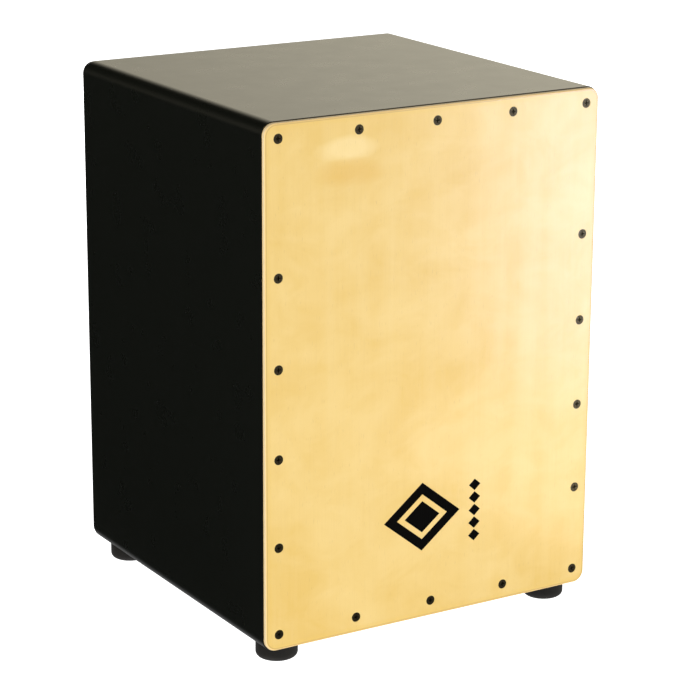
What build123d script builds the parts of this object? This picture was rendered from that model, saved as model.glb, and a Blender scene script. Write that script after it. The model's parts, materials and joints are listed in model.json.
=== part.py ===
from build123d import *
import os

# A cajon: a box drum that the player sits on. Millimetres. The origin is on the floor under the
# middle of the box, X runs to the right of the playing face, Y from the playing face (front, -Y)
# to the sound port (back, +Y), and Z is up.

# Box
BODY_WIDTH = 300.0
BODY_DEPTH = 298.0
BODY_HEIGHT = 410.0
CORNER_RADIUS = 10.0
RIM_ROUND = 0.4
WALL = 9.0

# Playing plate and back panel, both laid on the open ends of the box
PLATE_THICKNESS = 3.0
BACK_THICKNESS = 4.0
PANEL_INSET = 0.8
PANEL_EDGE_ROUND = 1.2
PORT_RADIUS = 57.5
PORT_EDGE_ROUND = 1.0

# Battens glued inside both ends of the box
BATTEN_WIDTH = 12.0
BATTEN_DEPTH = 15.0

# Countersunk wood screws with a cross recess, 4 mm thread and 7.6 mm head
SCREW_RADIUS = 2.0
HEAD_RADIUS = 3.8
HEAD_RIM = 0.4
SCREW_POINT = 3.0
POINT_RADIUS = 0.3
HOLE_CLEARANCE = 0.05
HOLE_SPARE_DEPTH = 0.5
PLATE_SCREW_LENGTH = 16.0
PLATE_SCREW_SINK = 0.1
RECESS_WIDTH = 0.9
RECESS_SPAN = 4.4
RECESS_FLOOR_SPAN = 1.4
RECESS_DEPTH = 1.7

# Screw layout on the playing plate
SCREW_MARGIN = 12.5
BOTTOM_SCREW_MARGIN = 13.5
SCREWS_ACROSS = 5
SIDE_SCREW_PITCH = 70.0
SIDE_SCREWS = 4

# Rubber feet, each with a washer and a pan-head screw in a well from below
FOOT_HEIGHT = 14.0
FOOT_RADIUS = 16.5
FOOT_EDGE_ROUND = 4.0
FOOT_TOP_ROUND = 0.6
FOOT_MARGIN = 24.0
FOOT_WELL_RADIUS = 6.0
FOOT_WELL_DEPTH = 9.0
WASHER_RADIUS = 5.5
WASHER_THICKNESS = 1.0
PAN_RADIUS = 3.8
PAN_HEIGHT = 2.6
PAN_ROUND = 1.2
FOOT_SCREW_LENGTH = 14.0

# Snare bar across the inside, on a block at each end
BAR_FRONT_GAP = 19.0
BAR_DEPTH = 20.0
BAR_HEIGHT = 25.0
BAR_TOP = 310.0
BLOCK_WIDTH = 20.0
BLOCK_DEPTH = 24.0
BLOCK_HEIGHT = 22.0
BAR_SCREW_LENGTH = 35.0
BAR_SCREW_SIDE_GAP = 10.0

# Two snare sets: coiled wires soldered to a strip, which a clamp holds on the bar
SNARE_CENTRE = 75.0
WIRE_RADIUS = 0.9
WIRE_PITCH = 4.0
WIRES_PER_SET = 10
WIRE_SOLDER_LENGTH = 6.0
WIRE_RISE = 9.0
WIRE_LEAN_HEIGHT = 40.0
WIRE_CONTACT_HEIGHT = 48.0
WIRE_BEND_RADIUS = 25.0
WIRE_PLATE_GAP = 0.15
ANCHOR_WIDTH = 42.0
ANCHOR_HEIGHT = 15.0
ANCHOR_THICKNESS = 1.0
ANCHOR_TOP_GAP = 7.0
CLAMP_WIDTH = 56.0
CLAMP_HEIGHT = 7.0
CLAMP_THICKNESS = 1.5
CLAMP_CORNER_RADIUS = 2.0
CLAMP_SCREW_RADIUS = 1.5
CLAMP_SCREW_SPACING = 48.0
CLAMP_SCREW_LENGTH = 12.0
CLAMP_PAN_RADIUS = 3.0
CLAMP_PAN_HEIGHT = 2.0

# Worked out from the above
FRONT = -BODY_DEPTH / 2
BACK = BODY_DEPTH / 2
WALL_FRONT = FRONT + PLATE_THICKNESS
WALL_BACK = BACK - BACK_THICKNESS
HALF_WIDTH = BODY_WIDTH / 2
BASE = FOOT_HEIGHT
TOP = FOOT_HEIGHT + BODY_HEIGHT
MIDDLE = FOOT_HEIGHT + BODY_HEIGHT / 2
INNER_X = HALF_WIDTH - WALL
INNER_BASE = BASE + WALL
INNER_TOP = TOP - WALL
BAR_FRONT = WALL_FRONT + BAR_FRONT_GAP


def box_between(low, high):
    """A box from its lowest corner to its highest."""
    size = [h - l for l, h in zip(low, high)]
    return Pos(*low) * Box(*size, align=(Align.MIN, Align.MIN, Align.MIN))


def end_prism(outline, y_from, y_to):
    """An outline drawn as seen from the front, with its middle at the box's, drawn out along Y."""
    plane = Plane(origin=(0, y_to, MIDDLE), x_dir=(1, 0, 0), z_dir=(0, -1, 0))
    return extrude(plane * outline, y_to - y_from)


def turned(profile, place):
    """A round piece: a closed (radius, height) outline turned about its own axis, then placed."""
    face = make_face(Plane.XZ * Polyline(*profile, close=True))
    return place * revolve(face, Axis.Z)


# ---- Walls of the box ----------------------------------------------------------------------------


def wall_ring():
    """The four walls in one: rounded corners and eased rims outside, square corners inside."""
    outside = RectangleRounded(BODY_WIDTH, BODY_HEIGHT, CORNER_RADIUS)
    inside = Rectangle(BODY_WIDTH - 2 * WALL, BODY_HEIGHT - 2 * WALL)
    ring = end_prism(outside - inside, WALL_FRONT, WALL_BACK)
    ends = ring.faces().sort_by(Axis.Y)
    rims = ends[0].outer_wire().edges() + ends[-1].outer_wire().edges()
    return fillet(rims, RIM_ROUND)


def mitred_wall(ring, side):
    """One wall of the ring, cut at 45 degrees where it meets its neighbours."""
    x_out = BODY_WIDTH / 2
    z_out = BODY_HEIGHT / 2
    x_in = x_out - WALL
    z_in = z_out - WALL
    corners = {
        "top": [(-x_out, z_out), (x_out, z_out), (x_in, z_in), (-x_in, z_in)],
        "bottom": [(-x_out, -z_out), (x_out, -z_out), (x_in, -z_in), (-x_in, -z_in)],
        "left": [(-x_out, -z_out), (-x_out, z_out), (-x_in, z_in), (-x_in, -z_in)],
        "right": [(x_out, -z_out), (x_out, z_out), (x_in, z_in), (x_in, -z_in)],
    }
    wedge = make_face(Polyline(*corners[side], close=True))
    return ring & end_prism(wedge, WALL_FRONT, WALL_BACK)


def end_panel(y_from, y_to, outer_y):
    """A thin board on an end of the box, just inside its outline, with its outer edge eased."""
    outline = RectangleRounded(
        BODY_WIDTH - 2 * PANEL_INSET,
        BODY_HEIGHT - 2 * PANEL_INSET,
        CORNER_RADIUS - PANEL_INSET,
    )
    board = end_prism(outline, y_from, y_to)
    rim = board.faces().sort_by(Axis.Y)[0 if outer_y < 0 else -1].edges()
    return fillet(rim, PANEL_EDGE_ROUND)


def back_panel():
    """The back, with its round sound port in the middle."""
    board = end_panel(WALL_BACK, BACK, BACK)
    port = Pos(0, BACK, MIDDLE) * Rot(X=90) * Cylinder(PORT_RADIUS, 4 * BACK_THICKNESS)
    board = board - port
    lips = board.edges().filter_by(GeomType.CIRCLE)
    mouth = [edge for edge in lips if abs(edge.radius - PORT_RADIUS) < PORT_EDGE_ROUND]
    outer_mouth = [edge for edge in mouth if edge.center().Y > BACK - PORT_EDGE_ROUND]
    return fillet(outer_mouth, PORT_EDGE_ROUND)


# ---- Battens -------------------------------------------------------------------------------------


def battens(y_from):
    """The frame glued inside one end: top and bottom run right across, the sides stand between."""
    y_to = y_from + BATTEN_DEPTH
    inner_x = INNER_X - BATTEN_WIDTH
    inner_base = INNER_BASE + BATTEN_WIDTH
    inner_top = INNER_TOP - BATTEN_WIDTH
    return {
        "top": box_between((-INNER_X, y_from, inner_top), (INNER_X, y_to, INNER_TOP)),
        "bottom": box_between((-INNER_X, y_from, INNER_BASE), (INNER_X, y_to, inner_base)),
        "left": box_between((-INNER_X, y_from, inner_base), (-inner_x, y_to, inner_top)),
        "right": box_between((inner_x, y_from, inner_base), (INNER_X, y_to, inner_top)),
    }


# ---- Screws --------------------------------------------------------------------------------------


def countersunk_profile(length, extra=0.0):
    """Half outline of a countersunk screw, head top at height 0. With extra it is the screw's hole."""
    head = HEAD_RADIUS + extra
    shank = SCREW_RADIUS + extra
    cone_end = HEAD_RIM + HEAD_RADIUS - SCREW_RADIUS
    if extra:
        bottom = length + HOLE_SPARE_DEPTH
        return [(0, 1), (head, 1), (head, -HEAD_RIM), (shank, -cone_end), (shank, -bottom), (0, -bottom)]
    point = length - SCREW_POINT
    return [
        (0, 0),
        (head, 0),
        (head, -HEAD_RIM),
        (shank, -cone_end),
        (shank, -point),
        (POINT_RADIUS, -length),
        (0, -length),
    ]


def cross_recess():
    """The two crossed wedges that a driver bit fits, open at height 0."""
    wing_outline = Polyline(
        (-RECESS_SPAN / 2, 0),
        (RECESS_SPAN / 2, 0),
        (RECESS_FLOOR_SPAN / 2, -RECESS_DEPTH),
        (-RECESS_FLOOR_SPAN / 2, -RECESS_DEPTH),
        close=True,
    )
    wing = extrude(make_face(Plane.XZ * wing_outline), RECESS_WIDTH / 2, both=True)
    return wing + Rot(Z=90) * wing


def countersunk_screw(place, length):
    """A countersunk screw whose head top is at the place, pointing down the place's own Z."""
    screw = turned(countersunk_profile(length), Pos(0, 0, 0)) - cross_recess()
    return place * screw


def countersunk_hole(place, length):
    """The hole that the screw at this place needs."""
    return turned(countersunk_profile(length, HOLE_CLEARANCE), place)


def pan_screw(place, radius, length, head_radius, head_height, head_round):
    """A pan-head screw with the head's underside at the place, pointing down the place's own Z."""
    head = Cylinder(head_radius, head_height, align=(Align.CENTER, Align.CENTER, Align.MIN))
    head = fillet(head.edges().sort_by(Axis.Z)[-1], head_round)
    recess = Pos(0, 0, head_height) * cross_recess()
    shank = [
        (0, 0),
        (radius, 0),
        (radius, -length + SCREW_POINT),
        (POINT_RADIUS, -length),
        (0, -length),
    ]
    return place * (head - recess + turned(shank, Pos(0, 0, 0)))


def pan_hole(place, radius, length):
    """The pilot hole under a pan-head screw, past the thickness of what the screw clamps."""
    depth = length + HOLE_SPARE_DEPTH
    hole = Cylinder(radius + HOLE_CLEARANCE, 2 * depth)
    return place * hole


def plate_screw_place(x, z):
    """Where a plate screw's head top lies: just under the plate's face, with its point inwards."""
    return Pos(x, FRONT + PLATE_SCREW_SINK, z) * Rot(X=90)


def plate_screw_layout():
    """The fixed screws, and the two at the top corners that the player slackens."""
    edge_x = HALF_WIDTH - SCREW_MARGIN
    low_z = BASE + BOTTOM_SCREW_MARGIN
    high_z = TOP - SCREW_MARGIN
    pitch = 2 * edge_x / (SCREWS_ACROSS - 1)
    fixed = [(-edge_x + pitch * i, low_z) for i in range(SCREWS_ACROSS)]
    fixed += [(-edge_x + pitch * i, high_z) for i in range(1, SCREWS_ACROSS - 1)]
    for row in range(1, SIDE_SCREWS + 1):
        fixed += [(-edge_x, low_z + SIDE_SCREW_PITCH * row)]
        fixed += [(edge_x, low_z + SIDE_SCREW_PITCH * row)]
    corners = {"left": (-edge_x, high_z), "right": (edge_x, high_z)}
    return fixed, corners


# ---- Feet ----------------------------------------------------------------------------------------


def foot_places():
    """The middle of each foot on the floor."""
    x = HALF_WIDTH - FOOT_MARGIN
    y = BODY_DEPTH / 2 - FOOT_MARGIN
    return {
        "front_left": (-x, -y),
        "front_right": (x, -y),
        "rear_left": (-x, y),
        "rear_right": (x, y),
    }


def rubber_foot():
    """A round foot with a well from below and a hole through to the top."""
    foot = Cylinder(FOOT_RADIUS, FOOT_HEIGHT, align=(Align.CENTER, Align.CENTER, Align.MIN))
    foot = fillet(foot.edges().sort_by(Axis.Z)[0], FOOT_EDGE_ROUND)
    foot = fillet(foot.edges().filter_by(GeomType.CIRCLE).sort_by(Axis.Z)[-1], FOOT_TOP_ROUND)
    well = Cylinder(FOOT_WELL_RADIUS, 2 * FOOT_WELL_DEPTH)
    hole = Cylinder(SCREW_RADIUS + HOLE_CLEARANCE, 3 * FOOT_HEIGHT)
    return foot - well - hole


def washer():
    """A flat washer against the roof of a foot's well."""
    disc = Cylinder(WASHER_RADIUS, WASHER_THICKNESS)
    disc = disc - Cylinder(SCREW_RADIUS + HOLE_CLEARANCE, 2 * WASHER_THICKNESS)
    return Pos(0, 0, FOOT_WELL_DEPTH - WASHER_THICKNESS / 2) * disc


def foot_screw_place(x, y):
    """The underside of the foot screw's head, against the washer, with the point upwards."""
    return Pos(x, y, FOOT_WELL_DEPTH - WASHER_THICKNESS) * Rot(X=180)


# ---- Snare ---------------------------------------------------------------------------------------


def snare_block(side):
    """The block on a side wall that carries one end of the bar. Side is -1 or 1."""
    wall_x = side * INNER_X
    inner_x = side * (INNER_X - BLOCK_WIDTH)
    y_middle = BAR_FRONT + BAR_DEPTH / 2
    top = BAR_TOP - BAR_HEIGHT
    low = (min(wall_x, inner_x), y_middle - BLOCK_DEPTH / 2, top - BLOCK_HEIGHT)
    high = (max(wall_x, inner_x), y_middle + BLOCK_DEPTH / 2, top)
    return box_between(low, high)


def snare_bar():
    """The bar from wall to wall."""
    low = (-INNER_X, BAR_FRONT, BAR_TOP - BAR_HEIGHT)
    high = (INNER_X, BAR_FRONT + BAR_DEPTH, BAR_TOP)
    return box_between(low, high)


def bar_screw_place(side):
    """The head top of the screw that holds the bar down on a block."""
    return Pos(side * (INNER_X - BAR_SCREW_SIDE_GAP), BAR_FRONT + BAR_DEPTH / 2, BAR_TOP)


def snare_anchor(x):
    """The strip that one set of wires is soldered to, flat on the bar's front face."""
    top = BAR_TOP - ANCHOR_TOP_GAP
    low = (x - ANCHOR_WIDTH / 2, BAR_FRONT - ANCHOR_THICKNESS, top - ANCHOR_HEIGHT)
    high = (x + ANCHOR_WIDTH / 2, BAR_FRONT, top)
    return box_between(low, high)


def clamp_middle():
    """Height of the clamps and their screws."""
    return BAR_TOP - ANCHOR_TOP_GAP - ANCHOR_HEIGHT + CLAMP_HEIGHT / 2


def clamp_screw_places(x):
    """The undersides of one clamp's two screw heads, pointing into the bar."""
    y = BAR_FRONT - ANCHOR_THICKNESS - CLAMP_THICKNESS
    half = CLAMP_SCREW_SPACING / 2
    return [Pos(x + offset, y, clamp_middle()) * Rot(X=90) for offset in (-half, half)]


def snare_clamp(x):
    """The steel strip over the anchor's lower edge, stepped at its ends to reach the bar."""
    y_front = BAR_FRONT - ANCHOR_THICKNESS - CLAMP_THICKNESS
    outline = RectangleRounded(CLAMP_WIDTH, CLAMP_HEIGHT, CLAMP_CORNER_RADIUS)
    plane = Plane(origin=(x, BAR_FRONT, clamp_middle()), x_dir=(1, 0, 0), z_dir=(0, -1, 0))
    strip = extrude(plane * outline, BAR_FRONT - y_front)
    strip = strip - snare_anchor(x)
    for place in clamp_screw_places(x):
        strip = strip - pan_hole(place, CLAMP_SCREW_RADIUS, CLAMP_SCREW_LENGTH)
    return strip


def snare_wire(x):
    """One wire: up from its anchor, forward to the plate, and up the plate's rear to its free end."""
    y_bar = BAR_FRONT - ANCHOR_THICKNESS - WIRE_RADIUS
    y_plate = WALL_FRONT + WIRE_PLATE_GAP + WIRE_RADIUS
    z_start = BAR_TOP - ANCHOR_TOP_GAP - WIRE_SOLDER_LENGTH
    z_leave = z_start + WIRE_SOLDER_LENGTH + WIRE_RISE
    z_touch = z_leave + WIRE_LEAN_HEIGHT
    z_end = z_touch + WIRE_CONTACT_HEIGHT
    route = FilletPolyline(
        (x, y_bar, z_start),
        (x, y_bar, z_leave),
        (x, y_plate, z_touch),
        (x, y_plate, z_end),
        radius=WIRE_BEND_RADIUS,
    )
    section = Plane(origin=route @ 0, z_dir=route % 0) * Circle(WIRE_RADIUS)
    return sweep(section, path=route)


def snare_wires(x_middle):
    """One set of parallel wires."""
    first = x_middle - WIRE_PITCH * (WIRES_PER_SET - 1) / 2
    return [snare_wire(first + WIRE_PITCH * i) for i in range(WIRES_PER_SET)]


# ---- Assembly ------------------------------------------------------------------------------------


def fasten_plate(nodes):
    """Adds the plate's screws, and their holes in the plate and in the battens behind it."""
    fixed, corners = plate_screw_layout()
    places = [plate_screw_place(x, z) for x, z in fixed]
    corner_places = {side: plate_screw_place(x, z) for side, (x, z) in corners.items()}
    drilled = ["front_plate"] + [f"front_batten_{side}" for side in ("top", "bottom", "left", "right")]
    for place in places + list(corner_places.values()):
        hole = countersunk_hole(place, PLATE_SCREW_LENGTH)
        for name in drilled:
            if touches(nodes[name], hole):
                nodes[name] = nodes[name] - hole
    nodes["plate_screws"] = [countersunk_screw(place, PLATE_SCREW_LENGTH) for place in places]
    for side, place in corner_places.items():
        nodes[f"corner_screw_{side}"] = countersunk_screw(place, PLATE_SCREW_LENGTH)


def touches(solid, tool):
    """Whether the two bounding boxes overlap."""
    first = solid.bounding_box()
    second = tool.bounding_box()
    low = [max(a, b) for a, b in zip(first.min, second.min)]
    high = [min(a, b) for a, b in zip(first.max, second.max)]
    return all(l < h for l, h in zip(low, high))


def add_feet(nodes):
    """Adds the four feet with their washers and screws, and the screw holes in the floor panel."""
    washers = []
    screws = []
    for name, (x, y) in foot_places().items():
        nodes[f"foot_{name}"] = Pos(x, y, 0) * rubber_foot()
        washers.append(Pos(x, y, 0) * washer())
        place = foot_screw_place(x, y)
        screws.append(
            pan_screw(place, SCREW_RADIUS, FOOT_SCREW_LENGTH, PAN_RADIUS, PAN_HEIGHT, PAN_ROUND)
        )
        hole = pan_hole(place, SCREW_RADIUS, FOOT_SCREW_LENGTH)
        nodes["bottom_panel"] = nodes["bottom_panel"] - hole
    nodes["foot_washers"] = washers
    nodes["foot_screws"] = screws


def add_snare(nodes):
    """Adds the bar on its blocks, and both snare sets."""
    bar = snare_bar()
    bar_screws = []
    clamp_screws = []
    for name, side in (("left", -1), ("right", 1)):
        place = bar_screw_place(side)
        hole = countersunk_hole(place, BAR_SCREW_LENGTH)
        bar = bar - hole
        nodes[f"snare_bar_block_{name}"] = snare_block(side) - hole
        bar_screws.append(countersunk_screw(place, BAR_SCREW_LENGTH))
        x = side * SNARE_CENTRE
        nodes[f"snare_anchor_{name}"] = snare_anchor(x)
        nodes[f"snare_clamp_{name}"] = snare_clamp(x)
        nodes[f"snare_wires_{name}"] = snare_wires(x)
        for clamp_place in clamp_screw_places(x):
            bar = bar - pan_hole(clamp_place, CLAMP_SCREW_RADIUS, CLAMP_SCREW_LENGTH)
            clamp_screws.append(
                pan_screw(
                    clamp_place,
                    CLAMP_SCREW_RADIUS,
                    CLAMP_SCREW_LENGTH,
                    CLAMP_PAN_RADIUS,
                    CLAMP_PAN_HEIGHT,
                    PAN_ROUND,
                )
            )
    nodes["snare_bar"] = bar
    nodes["snare_bar_screws"] = bar_screws
    nodes["snare_clamp_screws"] = clamp_screws


def build():
    """Every node by name: a solid, or a list of separate solids."""
    nodes = {}
    ring = wall_ring()
    for side in ("top", "bottom", "left", "right"):
        nodes[f"{side}_panel"] = mitred_wall(ring, side)
    nodes["front_plate"] = end_panel(FRONT, WALL_FRONT, FRONT)
    nodes["back_panel"] = back_panel()
    for end, y_from in (("front", WALL_FRONT), ("rear", WALL_BACK - BATTEN_DEPTH)):
        for side, batten in battens(y_from).items():
            nodes[f"{end}_batten_{side}"] = batten
    fasten_plate(nodes)
    add_feet(nodes)
    add_snare(nodes)
    return nodes


def write(nodes):
    """Writes one STEP file for each node."""
    os.makedirs("parts", exist_ok=True)
    for name, shape in nodes.items():
        solids = shape if isinstance(shape, list) else [shape]
        whole = Compound(children=[solid for piece in solids for solid in piece.solids()])
        whole.label = name
        export_step(whole, f"parts/{name}.step")


write(build())
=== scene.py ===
import json
import math

import bmesh
import bpy
from mathutils import Matrix, Vector


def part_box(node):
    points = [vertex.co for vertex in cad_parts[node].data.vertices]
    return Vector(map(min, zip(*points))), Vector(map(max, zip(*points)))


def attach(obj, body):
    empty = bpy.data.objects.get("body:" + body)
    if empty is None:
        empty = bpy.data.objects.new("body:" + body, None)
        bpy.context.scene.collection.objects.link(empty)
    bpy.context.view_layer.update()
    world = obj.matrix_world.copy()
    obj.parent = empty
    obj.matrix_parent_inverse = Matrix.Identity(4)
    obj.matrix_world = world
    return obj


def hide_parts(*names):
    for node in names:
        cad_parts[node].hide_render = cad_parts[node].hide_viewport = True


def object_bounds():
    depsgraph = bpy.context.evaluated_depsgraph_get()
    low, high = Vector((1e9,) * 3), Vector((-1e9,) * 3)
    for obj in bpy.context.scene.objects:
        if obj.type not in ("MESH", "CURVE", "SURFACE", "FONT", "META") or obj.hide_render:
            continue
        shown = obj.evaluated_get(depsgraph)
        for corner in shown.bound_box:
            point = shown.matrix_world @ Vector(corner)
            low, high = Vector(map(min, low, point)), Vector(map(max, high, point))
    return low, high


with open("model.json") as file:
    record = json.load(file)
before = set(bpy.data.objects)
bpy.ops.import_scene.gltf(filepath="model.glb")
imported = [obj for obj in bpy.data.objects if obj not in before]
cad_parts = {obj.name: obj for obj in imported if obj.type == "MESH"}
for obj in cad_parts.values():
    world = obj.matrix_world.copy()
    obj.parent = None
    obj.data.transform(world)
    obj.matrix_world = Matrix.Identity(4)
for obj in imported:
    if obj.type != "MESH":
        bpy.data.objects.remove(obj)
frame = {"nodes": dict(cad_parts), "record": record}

MM = 0.001
CAD_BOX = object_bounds()

# Named places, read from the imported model
PLATE_LOW, PLATE_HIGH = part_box("front_plate")
BACK_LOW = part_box("back_panel")[0]
WALL_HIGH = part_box("left_panel")[1]
TOP_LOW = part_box("top_panel")[0]
BOTTOM_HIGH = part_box("bottom_panel")[1]

# Sizes that the model's boxes do not show
PLATE_CORNER = 10 * MM
SNARE_COIL_RADIUS = 0.9 * MM


# ---- Node materials ------------------------------------------------------------------------------


class Shader:
    """One node material with a Principled shader, and short calls that add nodes to it."""

    def __init__(self, name, **settings):
        self.material = bpy.data.materials.new(name)
        self.material.use_nodes = True
        self.tree = self.material.node_tree
        self.principled = self.tree.nodes["Principled BSDF"]
        self.set(**settings)

    def set(self, **settings):
        """Sets or links sockets of the Principled shader, with _ for the spaces in their names."""
        for name, value in settings.items():
            self.feed(self.principled.inputs[name.replace("_", " ")], value)

    def feed(self, socket, value):
        if isinstance(value, bpy.types.NodeSocket):
            self.tree.links.new(value, socket)
        elif isinstance(value, tuple) and len(value) == 3 and len(socket.default_value) == 4:
            socket.default_value = (*value, 1.0)
        else:
            socket.default_value = value

    def add(self, kind, inputs=(), output=0, **attributes):
        """Adds a node, feeds its inputs by number or name, and gives one of its outputs."""
        node = self.tree.nodes.new(kind)
        for name, value in attributes.items():
            setattr(node, name, value)
        for key, value in dict(inputs).items():
            self.feed(node.inputs[key], value)
        return node.outputs[output]

    def place(self):
        """The point on the object, in metres in the shared frame."""
        return self.add("ShaderNodeTexCoord", output="Object")

    def split(self, vector):
        node = self.tree.nodes.new("ShaderNodeSeparateXYZ")
        self.feed(node.inputs[0], vector)
        return node.outputs

    def math(self, operation, first, second=0.0):
        return self.add("ShaderNodeMath", {0: first, 1: second}, operation=operation)

    def noise(self, cells_per_metre, detail=3.0, roughness=0.5, distortion=0.0, shift=0.0):
        """Noise from 0 to 1 whose cells have their own number per metre along X, Y and Z."""
        moved = self.add(
            "ShaderNodeMapping",
            {"Vector": self.place(), "Location": (shift, shift, shift), "Scale": cells_per_metre},
        )
        settings = {"Scale": 1.0, "Detail": detail, "Roughness": roughness, "Distortion": distortion}
        return self.add("ShaderNodeTexNoise", {"Vector": moved, **settings})

    def remap(self, value, low, high, to_low=0.0, to_high=1.0):
        """value from low..high to to_low..to_high, held at the ends."""
        spans = {"Value": value, "From Min": low, "From Max": high, "To Min": to_low, "To Max": to_high}
        return self.add("ShaderNodeMapRange", spans)

    def mix(self, factor, first, second):
        """A colour between two colours."""
        node = self.tree.nodes.new("ShaderNodeMix")
        node.data_type = "RGBA"
        self.feed(node.inputs["Factor"], factor)
        self.feed(node.inputs[6], first)
        self.feed(node.inputs[7], second)
        return node.outputs[2]

    def bump(self, height, depth, normal=None):
        """A bump whose full height is depth, in metres."""
        inputs = {"Strength": 1.0, "Distance": depth, "Height": height}
        if normal:
            inputs["Normal"] = normal
        return self.add("ShaderNodeBump", inputs)

    def spot(self, x, z, half_width, half_height):
        """1 in the middle of an uneven oval patch seen from the front, fading to 0 past its edge."""
        sway = self.noise((30, 30, 30), detail=3, shift=5.5)
        axes = self.split(self.place())
        across = self.math("DIVIDE", self.math("SUBTRACT", axes[0], x), half_width)
        up = self.math("DIVIDE", self.math("SUBTRACT", axes[2], z), half_height)
        squares = self.math("ADD", self.math("POWER", across, 2.0), self.math("POWER", up, 2.0))
        uneven = self.math("ADD", squares, self.remap(sway, 0.3, 0.7, -0.6, 0.6))
        return self.remap(uneven, 0.3, 2.0, 1.0, 0.0)

    def inset(self, low, high, corner):
        """How far a point lies inside the rounded outline of a box, as seen from the front."""
        axes = self.split(self.place())
        squares = 0.0
        for axis in (0, 2):
            middle = (low[axis] + high[axis]) / 2
            straight = (high[axis] - low[axis]) / 2 - corner
            out = self.math("ABSOLUTE", self.math("SUBTRACT", axes[axis], middle))
            past = self.math("MAXIMUM", self.math("SUBTRACT", out, straight), 0.0)
            squares = self.math("ADD", squares, self.math("POWER", past, 2.0))
        return self.math("SUBTRACT", corner, self.math("SQRT", squares))

    def inside_box(self, low, high):
        """1 where the point is strictly inside a box, else 0."""
        axes = self.split(self.place())
        mask = None
        for axis, first, last in zip(axes, low, high):
            above = self.math("GREATER_THAN", axis, first)
            below = self.math("LESS_THAN", axis, last)
            both = self.math("MULTIPLY", above, below)
            mask = both if mask is None else self.math("MULTIPLY", mask, both)
        return mask


def veneer_plate():
    """Golden birch plywood under a clear satin lacquer, its plies showing on the edge."""
    s = Shader("birch_veneer", IOR=1.5, Specular_IOR_Level=0.15, Coat_Weight=0.9, Coat_Roughness=0.27)
    golden = (0.83, 0.595, 0.200)
    amber = (0.76, 0.500, 0.110)
    straw = (0.84, 0.62, 0.230)
    clouds = s.noise((10, 10, 13), detail=3, roughness=0.55, distortion=0.8, shift=5.9)
    ripples = s.noise((24, 24, 34), detail=3, roughness=0.6, distortion=0.7, shift=3.1)
    bands = s.noise((38, 38, 2.4), detail=4, roughness=0.6, shift=1.3)
    grain = s.noise((1000, 300, 16), detail=3, roughness=0.7, shift=7.7)
    pores = s.noise((1500, 500, 150), detail=1, shift=9.4)

    cloudy = s.math("ADD", s.remap(clouds, 0.36, 0.64, 0, 0.6), s.remap(ripples, 0.38, 0.64, 0, 0.4))
    face = s.mix(cloudy, golden, amber)
    face = s.mix(s.remap(bands, 0.44, 0.70, 0, 0.45), face, straw)

    # A painted highlight: a pale oval patch near the top of the plate, with a darker amber bar below it
    patch_x = PLATE_LOW.x + 70 * MM
    patch_strength = 0.6
    painted_highlight_patch = s.spot(patch_x, PLATE_HIGH.z - 25 * MM, 22 * MM, 7 * MM)
    face = s.mix(s.math("MULTIPLY", painted_highlight_patch, patch_strength), face, (0.92, 0.72, 0.33))
    dark_bar = s.spot(patch_x, PLATE_HIGH.z - 43 * MM, 25 * MM, 8 * MM)
    face = s.mix(s.math("MULTIPLY", dark_bar, patch_strength), face, (0.74, 0.45, 0.075))

    grain_brown = (0.58, 0.34, 0.09)
    pore_brown = (0.42, 0.24, 0.08)
    face = s.mix(s.remap(grain, 0.5, 0.8, 0, 0.12), face, grain_brown)
    face = s.mix(s.remap(pores, 0.68, 0.74, 0, 0.20), face, pore_brown)

    # Deeper colour near the plate's edge, a thin brown line of painted shade where the edge rounds off, and
    # a pale rim outside it that is a painted highlight on the rounded edge
    inset = s.inset(PLATE_LOW, PLATE_HIGH, PLATE_CORNER)
    face = s.mix(s.remap(inset, 2 * MM, 6 * MM, 0.55, 0), face, (0.79, 0.53, 0.115))
    # Painted shade: the thin brown line just inside the rounded edge
    shade_line_start = s.remap(inset, 1.0 * MM, 1.2 * MM)
    shade_line_end = s.remap(inset, 1.8 * MM, 2.1 * MM, 1, 0)
    face = s.mix(s.math("MULTIPLY", shade_line_start, shade_line_end), face, (0.64, 0.42, 0.12))
    # Painted highlight: the pale outermost rim of the face
    face = s.mix(s.remap(inset, 0.9 * MM, 1.1 * MM, 1, 0), face, (0.84, 0.58, 0.23))

    # The core between the two face plies, seen on the plate's side
    face_ply = 0.35 * MM
    thickness = PLATE_HIGH.y - PLATE_LOW.y
    depth = s.math("SUBTRACT", s.split(s.place())[1], PLATE_LOW.y)
    from_middle = s.math("ABSOLUTE", s.math("SUBTRACT", depth, thickness / 2))
    core = s.remap(from_middle, thickness / 2 - face_ply, thickness / 2 - face_ply - 0.06 * MM)
    end_grain = s.noise((500, 900, 500), detail=3, shift=2.2)
    core_colour = s.mix(end_grain, (0.72, 0.57, 0.34), (0.60, 0.45, 0.24))
    s.set(Base_Color=s.mix(core, face, core_colour))
    s.set(Roughness=s.remap(s.math("ADD", ripples, grain), 0.6, 1.4, 0.45, 0.55))
    s.set(Normal=s.bump(s.math("ADD", s.math("MULTIPLY", pores, 0.4), grain), 0.015 * MM))
    return s.material


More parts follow.
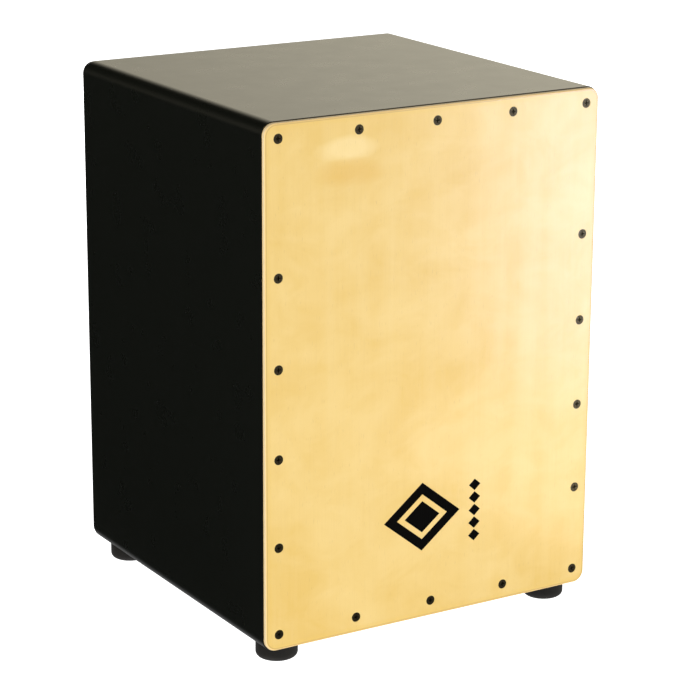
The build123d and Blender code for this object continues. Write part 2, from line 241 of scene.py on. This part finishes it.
def painted_board():
    """Fibreboard in satin black paint outside, bare inside the box."""
    s = Shader("painted_board", IOR=1.5)
    edge = 0.5 * MM
    low = (WALL_HIGH.x - edge, PLATE_HIGH.y + edge, BOTTOM_HIGH.z - edge)
    high = (-low[0], BACK_LOW.y + edge, TOP_LOW.z + edge)
    bare = s.inside_box(low, high)

    mottle = s.noise((40, 40, 40), detail=4)
    peel = s.noise((160, 160, 160), detail=1)
    paint = s.mix(mottle, (0.0016, 0.0022, 0.0010), (0.0024, 0.0030, 0.0018))
    bare_roughness = 0.9
    fibres = s.noise((1300, 1300, 500), detail=4, roughness=0.7, shift=4.0)
    board = s.mix(s.remap(fibres, 0.3, 0.7), (0.30, 0.185, 0.095), (0.47, 0.33, 0.20))
    s.set(Base_Color=s.mix(bare, paint, board))
    shine = s.remap(mottle, 0.3, 0.7, 0.27, 0.29)
    rough = s.add("ShaderNodeMix", {"Factor": bare, 2: shine, 3: bare_roughness}, data_type="FLOAT")
    s.set(Roughness=rough)
    relief = s.math("ADD", s.math("MULTIPLY", peel, 0.3), s.math("MULTIPLY", fibres, bare))
    s.set(Normal=s.bump(relief, 0.02 * MM))
    return s.material


def plain_wood(name, along, pale, dark, ring_scale):
    """Planed, unfinished wood with its grain along one axis."""
    s = Shader(name, IOR=1.45)
    stretch = {"x": (6, 160, 160), "z": (160, 160, 6)}[along]
    fine = tuple(9 * n if n > 100 else 4 * n for n in stretch)
    rings = s.noise(tuple(n * ring_scale for n in stretch), detail=3, distortion=0.5)
    fibres = s.noise(fine, detail=3, roughness=0.65, shift=5.0)
    colour = s.mix(s.remap(rings, 0.35, 0.65), pale, dark)
    colour = s.mix(s.remap(fibres, 0.5, 0.8, 0, 0.35), colour, tuple(0.5 * c for c in dark))
    s.set(Base_Color=colour, Roughness=s.remap(fibres, 0.3, 0.7, 0.6, 0.8))
    s.set(Normal=s.bump(fibres, 0.05 * MM))
    return s.material


def metal(name, pale, dark, rough_low, rough_high, specks):
    """Plated or blackened steel, or brass, with a worn, uneven surface."""
    s = Shader(name, Metallic=1.0)
    wear = s.noise((specks, specks, specks), detail=4, roughness=0.6)
    fine = s.noise((4000, 4000, 4000), detail=2, shift=6.0)
    s.set(Base_Color=s.mix(s.remap(wear, 0.35, 0.65), pale, dark))
    s.set(Roughness=s.remap(wear, 0.3, 0.7, rough_low, rough_high))
    s.set(Normal=s.bump(fine, 0.01 * MM))
    return s.material


def foot_rubber():
    """Black moulded rubber, paler in patches towards the floor."""
    s = Shader("foot_rubber", IOR=1.5)
    axes = s.split(s.place())
    speckle = s.noise((1500, 1500, 1500), detail=3)
    # Paler patches in the lowest 6 mm, towards the floor
    paler_low = s.math("MULTIPLY", s.remap(axes[2], 0, 6 * MM, 0.5, 0), s.noise((90, 90, 90), detail=4))
    colour = s.mix(s.remap(speckle, 0.3, 0.7), (0.0060, 0.0052, 0.0044), (0.0110, 0.0095, 0.0080))
    s.set(Base_Color=s.mix(paler_low, colour, (0.09, 0.085, 0.08)))
    s.set(Roughness=s.remap(speckle, 0.3, 0.7, 0.45, 0.6))
    s.set(Normal=s.bump(speckle, 0.03 * MM))
    return s.material


def black_ink():
    """Screen-printed ink, with the veneer's grain just showing through."""
    s = Shader("black_ink", IOR=1.5, Specular_IOR_Level=0.02)
    grain = s.noise((1100, 300, 14), detail=2, roughness=0.6, shift=7.7)
    s.set(Base_Color=s.mix(s.remap(grain, 0.4, 0.8), (0.0020, 0.0020, 0.0020), (0.0050, 0.0045, 0.0040)))
    s.set(Roughness=s.remap(grain, 0.3, 0.7, 0.45, 0.6))
    s.set(Normal=s.bump(grain, 0.02 * MM))
    return s.material


def paint_nodes():
    """Gives every CAD node its material."""
    pine_pale = (0.66, 0.46, 0.24)
    pine_dark = (0.55, 0.34, 0.15)
    pine = {along: plain_wood(f"pine_{along}", along, pine_pale, pine_dark, 1.0) for along in "xz"}
    beech = plain_wood("beech", "x", (0.56, 0.34, 0.19), (0.47, 0.26, 0.13), 2.0)
    zinc = metal("zinc_steel", (0.66, 0.66, 0.64), (0.50, 0.50, 0.48), 0.25, 0.45, 400)
    materials = {
        "plate_veneer": veneer_plate(),
        "painted_board": painted_board(),
        "black_steel": metal("black_oxide", (0.064, 0.050, 0.026), (0.031, 0.024, 0.012), 0.35, 0.5, 900),
        "zinc_steel": zinc,
        "hardwood": beech,
        "brass_strip": metal("brass", (0.72, 0.52, 0.24), (0.58, 0.40, 0.17), 0.3, 0.45, 300),
        "snare_steel": metal("snare_steel", (0.66, 0.66, 0.64), (0.52, 0.52, 0.50), 0.2, 0.35, 600),
        "foot_rubber": foot_rubber(),
    }
    slots = {part["node"]: part["material_slot"] for part in frame["record"]["subparts"]}
    for name, node in frame["nodes"].items():
        if slots[name] == "softwood":
            material = pine["x" if name.endswith(("top", "bottom")) else "z"]
        else:
            material = materials[slots[name]]
        node.data.materials.clear()
        node.data.materials.append(material)
    return materials


# ---- Pieces made here ----------------------------------------------------------------------------


def mesh_object(name, build, material):
    """A new mesh object whose shape the build function makes in a bmesh."""
    data = bpy.data.meshes.new(name)
    shape = bmesh.new()
    build(shape)
    bmesh.ops.recalc_face_normals(shape, faces=shape.faces)
    shape.to_mesh(data)
    shape.free()
    data.materials.append(material)
    piece = bpy.data.objects.new(name, data)
    bpy.context.scene.collection.objects.link(piece)
    return piece


def add_lozenge(shape, centre, half_width, half_height, hole=0.0, y_back=0.0, y_front=0.0):
    """A flat diamond drawn out along Y, with a diamond hole of that share of its size."""
    corners = [(-1, 0), (0, -1), (1, 0), (0, 1)]
    x, z = centre

    def ring(share, y):
        places = [(x + share * half_width * a, y, z + share * half_height * b) for a, b in corners]
        return [shape.verts.new(place) for place in places]

    rings = [ring(1, y_front), ring(1, y_back)]
    if hole:
        rings += [ring(hole, y_back), ring(hole, y_front)]
    else:
        shape.faces.new(rings[0])
        shape.faces.new(rings[1])
    pairs = list(zip(rings, rings[1:] + rings[:1])) if hole else [(rings[0], rings[1])]
    for first, second in pairs:
        for i in range(4):
            j = (i + 1) % 4
            shape.faces.new((first[i], first[j], second[j], second[i]))


def printed_mark(material):
    """The print on the plate: nested diamonds, and a column of small ones at their right."""
    ink = 0.06 * MM
    sunk = 0.02 * MM
    mark_centre = (-9 * MM, 99 * MM)
    mark_half = (35 * MM, 28 * MM)
    hole_share = 0.66
    inner_share = 0.46
    column_count = 5
    column_x = 40 * MM
    column_low = 75 * MM
    column_step = 10.5 * MM
    column_half = (5.4 * MM, 4.8 * MM)
    flat = {"y_back": PLATE_LOW.y + sunk, "y_front": PLATE_LOW.y - ink}

    def build(shape):
        add_lozenge(shape, mark_centre, *mark_half, hole=hole_share, **flat)
        add_lozenge(shape, mark_centre, mark_half[0] * inner_share, mark_half[1] * inner_share, **flat)
        for i in range(column_count):
            place = (column_x, column_low + column_step * i)
            add_lozenge(shape, place, *column_half, **flat)

    mark = mesh_object("printed_mark", build, material)
    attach(mark, "body")
    return mark


def coil_route(low, high):
    """How far back a snare wire lies at the bar and at the plate, and the heights it leans between."""
    straight_length = 15 * MM
    lean_length = 40 * MM
    y_bar = high.y - SNARE_COIL_RADIUS
    y_plate = low.y + SNARE_COIL_RADIUS
    z_leave = low.z + straight_length
    z_touch = z_leave + lean_length
    return y_bar, y_plate, z_leave, z_touch


def coiled_wires(name, material):
    """One set of snare wires as real coils that replace the CAD node's plain rods."""
    low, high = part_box(name)
    coil_radius = SNARE_COIL_RADIUS
    wire_radius = 0.27 * MM
    pitch = 1.7 * MM
    steps = 10
    sides = 5
    wires = 10
    y_bar, y_plate, z_leave, z_touch = coil_route(low, high)
    spacing = (high.x - low.x - 2 * coil_radius) / (wires - 1)
    turn_radius = coil_radius - wire_radius

    def middle(z):
        t = min(max((z - z_leave) / (z_touch - z_leave), 0.0), 1.0)
        ease = t * t * (3 - 2 * t)
        return y_bar + (y_plate - y_bar) * ease

    def build(shape):
        turns = (high.z - low.z - 2 * wire_radius) / pitch
        count = int(turns * steps)
        for w in range(wires):
            x0 = low.x + coil_radius + spacing * w
            rings = []
            for i in range(count + 1):
                angle = 2 * math.pi * i / steps
                z = low.z + wire_radius + pitch * i / steps
                outward = Vector((math.cos(angle), math.sin(angle), 0))
                along = Vector((-math.sin(angle), math.cos(angle), pitch / (2 * math.pi * turn_radius)))
                along.normalize()
                across = along.cross(outward)
                centre = Vector((x0, middle(z), z)) + outward * turn_radius
                ring = []
                for k in range(sides):
                    a = 2 * math.pi * k / sides
                    offset = wire_radius * (math.cos(a) * outward + math.sin(a) * across)
                    ring.append(shape.verts.new(centre + offset))
                rings.append(ring)
            for first, second in zip(rings, rings[1:]):
                for k in range(sides):
                    j = (k + 1) % sides
                    shape.faces.new((first[k], first[j], second[j], second[k]))
            shape.faces.new(rings[0])
            shape.faces.new(rings[-1])

    piece = mesh_object(name + "_coils", build, material)
    for face in piece.data.polygons:
        face.use_smooth = True
    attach(piece, "body")
    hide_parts(name)
    return piece


def ease_wood_edges():
    """A small bevel on the planed edges of the battens, the bar and its blocks."""
    for name, node in frame["nodes"].items():
        if "batten" in name or name.startswith("snare_bar") and "screws" not in name:
            bevel = node.modifiers.new("eased_edges", "BEVEL")
            bevel.width = 0.6 * MM
            bevel.segments = 2
            bevel.limit_method = "ANGLE"
            bevel.angle_limit = math.radians(60)


# ---- Stage ---------------------------------------------------------------------------------------


def camera():
    """A long lens in front and to the left of the drum, a little above it."""
    place = Vector((-1.0465, -1.7298, 0.7852))
    yaw = 0.5487
    pitch = 0.2819
    roll = 0.0052
    forward = Vector((math.sin(yaw) * math.cos(pitch), math.cos(yaw) * math.cos(pitch), -math.sin(pitch)))
    right = Vector((math.cos(yaw), -math.sin(yaw), 0))
    up = right.cross(forward)
    level = Matrix((right, up, -forward)).transposed()
    data = bpy.data.cameras.new("camera")
    data.sensor_width = 36.0
    data.lens = 134.46
    data.clip_end = 100
    data.dof.use_dof = False
    eye = bpy.data.objects.new("camera", data)
    eye.matrix_world = Matrix.Translation(place) @ level.to_4x4() @ Matrix.Rotation(roll, 4, "Z")
    bpy.context.scene.collection.objects.link(eye)
    bpy.context.scene.camera = eye


def floor():
    """A wide pale floor that glows. Reflections see it dim under the drum, and dark to its left."""
    half = 30.0
    corners = [(-half, -half, 0), (half, -half, 0), (half, half, 0), (-half, half, 0)]

    def build(shape):
        shape.faces.new([shape.verts.new(corner) for corner in corners])

    s = Shader("floor", Base_Color=(0.5, 0.5, 0.5), Roughness=0.9, Specular_IOR_Level=0.0)
    s.set(Emission_Color=(1, 1, 1), Emission_Strength=1.3)
    x = s.split(s.place())[0]
    dark_edge = CAD_BOX[0][0] - 8 * MM
    fade = 6 * MM
    shade = s.remap(x, dark_edge - fade, dark_edge + fade, 0.01, 0.30)
    card = s.add("ShaderNodeEmission", {"Color": (1, 1, 1), "Strength": shade})
    glossy = s.add("ShaderNodeLightPath", output="Is Glossy Ray")
    both = s.add("ShaderNodeMixShader", {0: glossy, 1: s.principled.outputs[0], 2: card})
    s.tree.links.new(both, s.tree.nodes["Material Output"].inputs[0])
    mesh_object("floor", build, s.material)


def area_light(name, place, target, size, radiance, colour=(1, 1, 1), **seen_by):
    """A rectangular light of that brightness. seen_by turns off what it should not light."""
    data = bpy.data.lights.new(name, "AREA")
    data.color = colour
    data.shape = "RECTANGLE"
    data.size, data.size_y = size
    data.energy = radiance * math.pi * size[0] * size[1]
    light = bpy.data.objects.new(name, data)
    light.location = place
    light.rotation_euler = (Vector(target) - Vector(place)).to_track_quat("-Z", "Y").to_euler()
    light.visible_camera = False
    for ray, seen in seen_by.items():
        setattr(light, "visible_" + ray, seen)
    bpy.context.scene.collection.objects.link(light)
    return light


def sky():
    """White to the camera, soft grey light on the drum, and in reflections warm cards around it."""
    world = bpy.data.worlds.new("studio")
    bpy.context.scene.world = world
    world.use_nodes = True
    tree = world.node_tree

    def background(strength, colour=(1, 1, 1, 1)):
        node = tree.nodes.new("ShaderNodeBackground")
        node.inputs["Color"].default_value = colour
        node.inputs["Strength"].default_value = strength
        return node

    def remap(value, low, high, to_low, to_high):
        node = tree.nodes.new("ShaderNodeMapRange")
        tree.links.new(value, node.inputs["Value"])
        for name, number in zip(("From Min", "From Max", "To Min", "To Max"), (low, high, to_low, to_high)):
            node.inputs[name].default_value = number
        return node.outputs[0]

    def mixed(factor, first, second):
        node = tree.nodes.new("ShaderNodeMixShader")
        tree.links.new(factor, node.inputs[0])
        tree.links.new(first.outputs[0], node.inputs[1])
        tree.links.new(second.outputs[0], node.inputs[2])
        return node

    def brightest(first, second):
        node = tree.nodes.new("ShaderNodeMath")
        node.operation = "MAXIMUM"
        tree.links.new(first, node.inputs[0])
        tree.links.new(second, node.inputs[1])
        return node.outputs[0]

    direction = tree.nodes.new("ShaderNodeTexCoord").outputs["Generated"]
    split = tree.nodes.new("ShaderNodeSeparateXYZ")
    tree.links.new(direction, split.inputs[0])
    to_right = remap(split.outputs["X"], 0.12, 0.60, 0.02, 1.48)
    to_left = remap(split.outputs["X"], -0.40, -0.90, 0.0, 0.6)
    to_front = remap(split.outputs["Y"], -0.1, -0.6, 0.0, 0.15)
    cards = background(1.0, (1.0, 0.925, 0.72, 1))
    tree.links.new(brightest(to_right, brightest(to_left, to_front)), cards.inputs["Strength"])
    path = tree.nodes.new("ShaderNodeLightPath")
    around = mixed(path.outputs["Is Glossy Ray"], background(0.34), cards)
    last = mixed(path.outputs["Is Camera Ray"], around, background(1.0))
    tree.links.new(last.outputs[0], tree.nodes["World Output"].inputs[0])


def studio():
    """The camera, floor, sky and lights. Two cards are only there for the gloss on the plate."""
    camera()
    floor()
    sky()
    middle = (0, 0, 0.22)
    pale_blue = (0.60, 0.68, 1.0)
    card_place = (0.55, -0.66, 0.23)
    card_target = (0.47, -0.15, 0.23)
    upright = area_light("gloss_card", card_place, card_target, (0.2, 0.46), 14.5, pale_blue, diffuse=False)
    flat_place = (0.38, -0.43, 0.003)
    flat_target = (0.38, -0.43, 1)
    flat = area_light("floor_card", flat_place, flat_target, (0.36, 0.36), 3.2, diffuse=False)
    shined_on = bpy.data.collections.new("shined_on")
    for name, node in frame["nodes"].items():
        if name.startswith(("front_plate", "corner_screw", "plate_screws")):
            shined_on.objects.link(node)
    for card in (upright, flat):
        card.light_linking.receiver_collection = shined_on
    area_light("left_fill", (-2.2, -0.6, 1.2), middle, (1.2, 1.2), 6.0, glossy=False)
    area_light("front_fill", (-0.8, -2.4, 2.0), middle, (1.6, 1.2), 0.80, glossy=False)
    area_light("floor_glow", (0, -0.40, 0.003), (0, -0.40, 1), (1.0, 0.5), 0.25, glossy=False)
    area_light("back_fill", (0.6, 2.2, 0.9), middle, (1.2, 1.2), 12.0, glossy=False)
    bpy.context.scene.view_settings.view_transform = "Standard"


materials = paint_nodes()
ease_wood_edges()
printed_mark(black_ink())
for side in ("left", "right"):
    coiled_wires(f"snare_wires_{side}", materials["snare_steel"])
studio()
